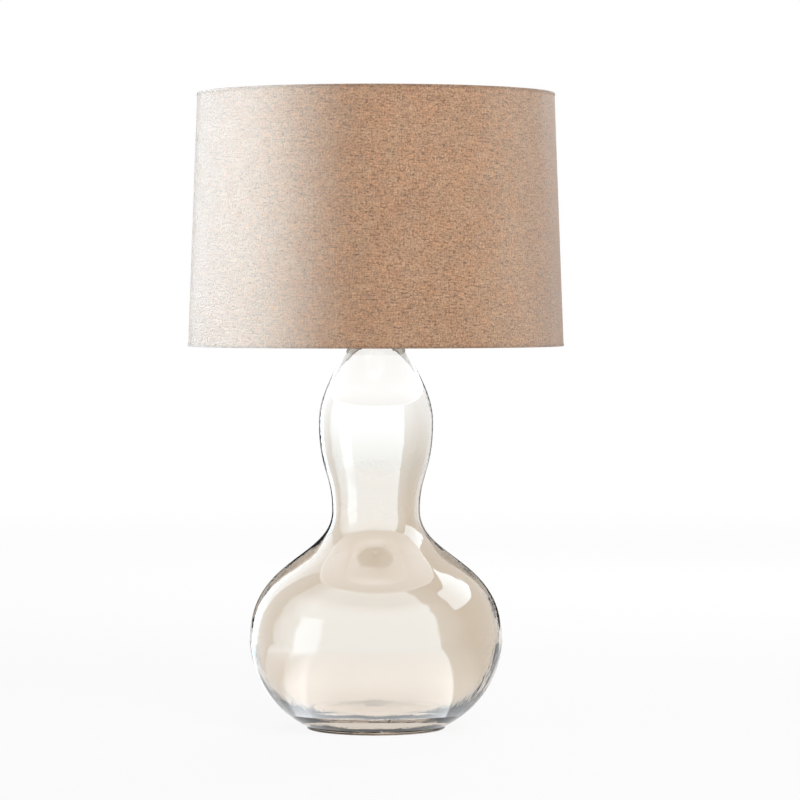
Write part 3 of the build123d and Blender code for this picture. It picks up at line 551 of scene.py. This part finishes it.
def tube(name, path, radius, sides, body, slot, looks):
    """A round wire along a path, closed at both ends."""
    points, count = [], len(path)
    normal = Vector((0.0, 1.0, 0.0))
    for index, place in enumerate(path):
        ahead = path[min(index + 1, count - 1)] - path[max(index - 1, 0)]
        ahead.normalize()
        normal = (normal - ahead * normal.dot(ahead)).normalized()
        other = ahead.cross(normal)
        for side in range(sides):
            turn = FULL_TURN * side / sides
            points.append(place + (normal * math.cos(turn) + other * math.sin(turn)) * radius)
    return add_mesh(name, points, capped_faces(count, sides), body, slot, looks)


def make_filament(looks):
    """Tungsten coil that hangs in an arc between the two leads."""
    low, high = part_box("bulb_filament")
    wind = FILAMENT_WIND
    reach = (high.x - low.x) / 2
    rise = (high.z - low.z) - 2 * wind
    turns = round(2 * reach / FILAMENT_PITCH)
    path = []
    for index in range(turns * FILAMENT_STEPS + 1):
        share = index / (turns * FILAMENT_STEPS)
        along = -1 + 2 * share
        turn = FULL_TURN * turns * share
        middle = Vector((along * reach, 0.0, low.z + wind + rise * (1 - along * along)))
        path.append(middle + Vector((0.0, math.cos(turn), math.sin(turn))) * wind)
    piece = tube("filament_coil", path, FILAMENT_WIRE, FILAMENT_SIDES, "bulb", "filament", looks)
    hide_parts("bulb_filament")


def shade_radius(height):
    """Outer radius of the shade's cloth at a height, from the CAD cover's two edges."""
    low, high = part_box("shade_cover")
    top = max(point.co.x for point in NODES["shade_cover"].data.vertices
              if point.co.z > high.z - EDGE_BAND)
    share = (height - low.z) / (high.z - low.z)
    return high.x + (top - high.x) * share


def make_seam(looks):
    """The lap at the back where the cloth's ends meet: a soft rise, then the outer end's edge."""
    low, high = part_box("shade_cover")
    bottom, top = low.z + SEAM_SHORT, high.z - SEAM_SHORT
    edge_low, edge_high = shade_radius(bottom), shade_radius(top)
    section = [(-SEAM_WIDTH, 0.0)]
    section += [(along, SEAM_RISE * share) for along, share in SEAM_TOP]
    section += [(0.0, 0.0), (0.0, -SEAM_DEPTH), (-SEAM_WIDTH, -SEAM_DEPTH)]
    points = []
    for share in steps(0.0, 1.0, SEAM_ROWS):
        height = bottom + (top - bottom) * share
        radius = edge_low + (edge_high - edge_low) * share
        for along, rise in section:
            turn = along / radius
            reach = radius + rise
            points.append((reach * math.sin(turn), reach * math.cos(turn), height))
    faces = capped_faces(SEAM_ROWS + 1, len(section))
    add_mesh("shade_seam", points, faces, "shade", "linen", looks)


def make_camera():
    data = bpy.data.cameras.new("photo_camera")
    data.lens = CAMERA_LENS
    data.sensor_width = SENSOR_WIDTH
    data.clip_end = CAMERA_REACH
    camera = bpy.data.objects.new("photo_camera", data)
    camera.location = (AIM_X, -CAMERA_DISTANCE, CAMERA_HEIGHT)
    towards = Vector((AIM_X, 0.0, AIM_HEIGHT)) - camera.location
    camera.rotation_euler = towards.to_track_quat("-Z", "Y").to_euler()
    bpy.context.scene.collection.objects.link(camera)
    bpy.context.scene.camera = camera


def seen_rays(tree):
    """1 for rays that carry the picture's white: from the camera, a gloss or through glass."""
    path = tree.nodes.new("ShaderNodeLightPath")
    brightest = path.outputs["Is Camera Ray"]
    for name in ("Is Glossy Ray", "Is Transmission Ray"):
        larger = tree.nodes.new("ShaderNodeMath")
        larger.operation = "MAXIMUM"
        tree.links.new(brightest, larger.inputs[0])
        tree.links.new(path.outputs[name], larger.inputs[1])
        brightest = larger.outputs[0]
    return brightest


def make_world():
    """White to the rays that are seen, and a lower even light for the rest."""
    world = bpy.data.worlds.new("studio")
    world.use_nodes = True
    tree = world.node_tree
    tree.nodes.clear()
    plain = tree.nodes.new("ShaderNodeBackground")
    plain.inputs["Color"].default_value = AMBIENT_TINT
    plain.inputs["Strength"].default_value = AMBIENT
    white = tree.nodes.new("ShaderNodeBackground")
    white.inputs["Color"].default_value = PLAIN_WHITE
    white.inputs["Strength"].default_value = 1.0
    mix = tree.nodes.new("ShaderNodeMixShader")
    tree.links.new(seen_rays(tree), mix.inputs[0])
    tree.links.new(plain.outputs[0], mix.inputs[1])
    tree.links.new(white.outputs[0], mix.inputs[2])
    output = tree.nodes.new("ShaderNodeOutputWorld")
    tree.links.new(mix.outputs[0], output.inputs[0])
    bpy.context.scene.world = world


def floor_finish():
    """Pale paper: white to the camera and to glass, with the lamp's shadow kept on it."""
    finish = Finish("floor_paper")
    place = finish.place()
    tint = finish.tone(finish.noise(place, scale=3.0, detail=3.0), PAPER_DULL, PAPER_PALE)
    paper = finish.node("ShaderNodeBsdfDiffuse", {"Color": tint})
    glow = finish.node("ShaderNodeEmission", {"Strength": 1.0})
    glow_share = finish.spread(finish.length(place), FLOOR_NEAR, FLOOR_FAR, FLOOR_GLOW, 1.0)
    share = finish.math("MULTIPLY", seen_rays(finish.tree), glow_share)
    values = {0: share, 1: paper.outputs[0], 2: glow.outputs[0]}
    return finish.show(finish.node("ShaderNodeMixShader", values))


def stage_mesh(name, points, faces, material):
    mesh = bpy.data.meshes.new(name)
    mesh.from_pydata(points, [], faces)
    mesh.materials.append(material)
    return bpy.data.objects.new(name, mesh)


def make_floor():
    half = FLOOR_SIZE / 2
    corners = [(-half, -half, -FLOOR_DROP), (half, -half, -FLOOR_DROP),
               (half, half, -FLOOR_DROP), (-half, half, -FLOOR_DROP)]
    floor = stage_mesh("floor", corners, [(0, 1, 2, 3)], floor_finish())
    bpy.context.scene.collection.objects.link(floor)


def around(azimuth, distance, height):
    """A place in the studio: azimuth 0 is at the camera's side, and a positive one to its right."""
    turn = math.radians(azimuth)
    return Vector((math.sin(turn) * distance, -math.cos(turn) * distance, height))


def softbox(name, azimuth, height, size, level, receivers, target=LAMP_MIDDLE, colour=WHITE):
    """A rectangular lamp turned to a point of the Z axis, for the receivers alone."""
    width, tall = size
    data = bpy.data.lights.new(name, "AREA")
    data.shape = "RECTANGLE"
    data.size = width
    data.size_y = tall
    data.energy = LAMP_POWER * level * width * tall
    data.color = colour
    lamp = bpy.data.objects.new(name, data)
    lamp.location = around(azimuth, STUDIO_DISTANCE, height)
    towards = Vector((0.0, 0.0, target)) - lamp.location
    lamp.rotation_euler = towards.to_track_quat("-Z", "Y").to_euler()
    lamp.visible_camera = False
    lamp.visible_transmission = False
    lamp.light_linking.receiver_collection = receivers
    bpy.context.scene.collection.objects.link(lamp)
    return lamp


def veil(azimuth, width, level, colour, receivers):
    """A lamp that is seen in the cloth's gloss and sheen alone."""
    lamp = softbox(f"veil_{azimuth}", azimuth, VEIL_HEIGHT, (width, VEIL_TALL), level, receivers,
                   SHADE_MIDDLE, colour)
    lamp.visible_diffuse = False


def group(name, members):
    """A collection outside the scene, which lamps and sheets name as their receivers."""
    made = bpy.data.collections.new(name)
    for member in members:
        made.objects.link(bpy.data.objects[member])
    return made


def glow_sheet(name, profile, left, right, strength, receivers, behind=1.0):
    """A clear sheet turned round the lamp from a profile, which shines into the receivers' gloss."""
    points, faces, rows = [], [], len(profile)
    for azimuth in steps(left, right, SHEET_STEPS):
        points += [around(azimuth, reach, height) for reach, height in profile]
    for step in range(SHEET_STEPS):
        for row in range(rows - 1):
            first = step * rows + row
            faces.append((first, first + 1, first + rows + 1, first + rows))
    sheet = stage_mesh(name, points, faces, glow_finish(name, strength, behind))
    sheet.light_linking.receiver_collection = receivers
    mirrored_only(sheet)


def mirrored_only(sheet):
    """Puts a sheet on the stage that is seen in mirrored rays alone."""
    for kind in ("camera", "diffuse", "transmission", "shadow", "volume_scatter"):
        setattr(sheet, f"visible_{kind}", False)
    bpy.context.scene.collection.objects.link(sheet)


def glow_finish(name, strength, behind):
    """Adds light to the share behind of what lies past the sheet; strength(finish) gives its level."""
    finish = Finish(name)
    clear = finish.node("ShaderNodeBsdfTransparent", {"Color": (behind, behind, behind, 1.0)})
    away = studio_place(finish)[2]
    tint = finish.tone(finish.spread(away, TABLE_START, TABLE_FULL), TABLE_WHITE, WALL_WHITE)
    glow = finish.node("ShaderNodeEmission", {"Color": tint, "Strength": strength(finish)})
    both = finish.node("ShaderNodeAddShader", {0: clear.outputs[0], 1: glow.outputs[0]})
    return no_lamp(finish.show(both))


def no_lamp(material):
    """Keeps a shining material from being sampled as a lamp: it is only ever seen."""
    material.cycles.emission_sampling = "NONE"
    return material


def studio_place(finish):
    """Azimuth in radians and height, both pushed about by a noise, and the distance from the axis."""
    x, y, z = finish.axes()
    wave = finish.noise(finish.place(), scale=WOBBLE_SCALE, detail=3.0)
    wobble = finish.spread(wave, NOISE_LOW, NOISE_HIGH, -WOBBLE, WOBBLE)
    turn = finish.azimuth(x, y)
    away = finish.length(finish.vector(x, y))
    return finish.math("ADD", turn, wobble), finish.math("ADD", z, wobble), away


def between(finish, value, low, high, soft):
    """1 from low to high, and 0 outside them, with soft ends."""
    rising = finish.spread(value, low, low + soft)
    return finish.math("MULTIPLY", rising, finish.spread(value, high, high - soft))


def wall_level(finish, turn):
    """The wall's level: bright from WALL_LEFT on, dimmer on the far left, with a gap there."""
    gap_left, gap_right = math.radians(GAP_LEFT), math.radians(GAP_RIGHT)
    gap = finish.math("MULTIPLY", between(finish, turn, gap_left, gap_right, WALL_FEATHER), GAP_DEPTH)
    ramp = finish.spread(turn, gap_right, math.radians(WALL_LEFT), WALL_DIM, WALL_LEVEL)
    return finish.math("MULTIPLY", ramp, finish.math("SUBTRACT", 1.0, gap))


def right_edge(finish, turn):
    """1 on the wall; at its right end a sharp step down, and then a long tail."""
    right = math.radians(WALL_RIGHT)
    sharp = finish.spread(turn, right, right - WALL_FEATHER, 0.0, 1.0 - TAIL_SHARE)
    tail = finish.spread(turn, right + math.radians(WALL_TAIL), right, 0.0, TAIL_SHARE)
    return finish.math("ADD", sharp, tail)


def window_share(finish, turn, z):
    """1 on the window, a low band on the wall's left."""
    left, right = math.radians(WINDOW_LEFT), math.radians(WINDOW_RIGHT)
    band = between(finish, turn, left, right, 2 * WALL_FEATHER)
    return finish.math("MULTIPLY", band, finish.spread(z, WINDOW_TALL, WINDOW_TALL - WINDOW_SOFT))


def table_share(finish, turn, z, away, window):
    """1 on the wall and far out on the table, and less near the lamp, a painted shadow of it, and on
    the table's left.
    """
    far = finish.spread(away, TABLE_START, TABLE_FULL)
    middle = finish.spread(turn, TABLE_DARK, TABLE_BRIGHT, TABLE_LEFT, TABLE_SHARE)
    shaded = finish.spread(away, TABLE_START, TABLE_NEAR, TABLE_SHADE, 1.0)
    shine = finish.spread(away, TABLE_START, TABLE_SHINE, 0.0, TABLE_WINDOW)
    share = finish.math("MAXIMUM", far, finish.math("MULTIPLY", middle, shaded))
    share = finish.math("MAXIMUM", share, finish.spread(z, 0.0, TABLE_FULL))
    return finish.math("MAXIMUM", share, finish.math("MULTIPLY", window, shine))


def wall_strength(finish):
    """The wall with its window, the table before it and the ceiling over it."""
    turn, z, away = studio_place(finish)
    window = window_share(finish, turn, z)
    level = finish.weighted((window, WINDOW_LEVEL), (wall_level(finish, turn), 1.0))
    shown = finish.math("MULTIPLY", right_edge(finish, turn), level)
    ceiling = finish.spread(z, CEILING_LOW, CEILING_HIGH, 1.0, CEILING_SHARE)
    shape = finish.math("MULTIPLY", table_share(finish, turn, z, away, window), ceiling)
    return finish.math("MULTIPLY", shown, shape)


def painted_liner_reflection_strength(finish):
    """A glow in place of the shade's inside as the glass mirrors it, dimmer at its middle: a painted
    reflection of a brighter liner.
    """
    away = studio_place(finish)[2]
    middle, rim = WALL_LEVEL * LINER_MIDDLE, WALL_LEVEL * LINER_SHARE
    return finish.spread(away, LINER_INNER, LINER_INNER + LINER_FADE, middle, rim)


def patch_strength(finish):
    """A bright patch high on the right."""
    turn, z = studio_place(finish)[:2]
    wide = between(finish, turn, math.radians(PATCH_LEFT), math.radians(PATCH_RIGHT), WALL_FEATHER)
    tall = between(finish, z, PATCH_LOW, PATCH_HIGH, WALL_FEATHER)
    return finish.math("MULTIPLY", finish.math("MULTIPLY", wide, tall), PATCH_LEVEL)


def make_walls(glass):
    """The bright wall and patch that the glass mirrors, and a glow under the shade that it mirrors as a
    painted reflection of the shade's inside.
    """
    profile = ((TABLE_START, TABLE_RISE), (STUDIO_DISTANCE, TABLE_RISE), (STUDIO_DISTANCE, WALL_TALL),
               (TABLE_START, WALL_TALL))
    glow_sheet("bright_wall", profile, WALL_FAR_LEFT, WALL_RIGHT + WALL_TAIL, wall_strength, glass)
    patch = ((STUDIO_DISTANCE, PATCH_LOW - PATCH_BORDER), (STUDIO_DISTANCE, PATCH_HIGH + PATCH_BORDER))
    glow_sheet("bright_patch", patch, PATCH_LEFT - PATCH_MARGIN, PATCH_RIGHT + PATCH_MARGIN,
               patch_strength, glass)
    under_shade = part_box("bottom_trim")[0].z - LINER_DROP
    ring = ((LINER_INNER, under_shade), (LINER_OUTER, under_shade))
    glow_sheet("bright_liner", ring, -180.0, 180.0, painted_liner_reflection_strength, glass, LINER_BEHIND)


def make_flags():
    """Two upright dark sheets behind the lamp, which darken the outlines of glass and metal."""
    for side in (-1, 1):
        place = around(side * FLAG_AZIMUTH, STUDIO_DISTANCE, FLAG_TALL / 2)
        across = place.cross(Vector((0.0, 0.0, 1.0))).normalized() * FLAG_WIDTH / 2
        up = Vector((0.0, 0.0, FLAG_TALL / 2))
        corners = [place - across - up, place + across - up, place + across + up, place - across + up]
        mirrored_only(stage_mesh("dark_flag", corners, [(0, 1, 2, 3)], flag_finish()))


def flag_finish():
    finish = Finish("dark_flag")
    return no_lamp(finish.show(finish.node("ShaderNodeEmission", {"Strength": FLAG_LEVEL})))


def make_lights():
    """Soft lamps for all but the glass, veils for the shade, and the stage that the glass mirrors."""
    shade = group("lit_shade", SHADE_PIECES)
    glass = group("lit_glass", GLASS_NODES)
    rest = group("lit_rest", [name for name in bpy.data.objects.keys() if name not in GLASS_NODES])
    for name, azimuth, height, level in ROOM_LAMPS:
        softbox(name, azimuth, height, ROOM_LAMP_SIZE, level, rest)
    for azimuth, width, level, colour in VEIL_LAMPS:
        veil(azimuth, width, level, colour, shade)
    make_walls(glass)
    make_flags()


def main():
    bpy.context.scene.view_settings.view_transform = "Standard"
    make_camera()
    make_world()
    make_floor()
    looks = finishes()
    dress(looks)
    make_bulb_base(looks)
    make_filament(looks)
    make_seam(looks)
    make_lights()


main()
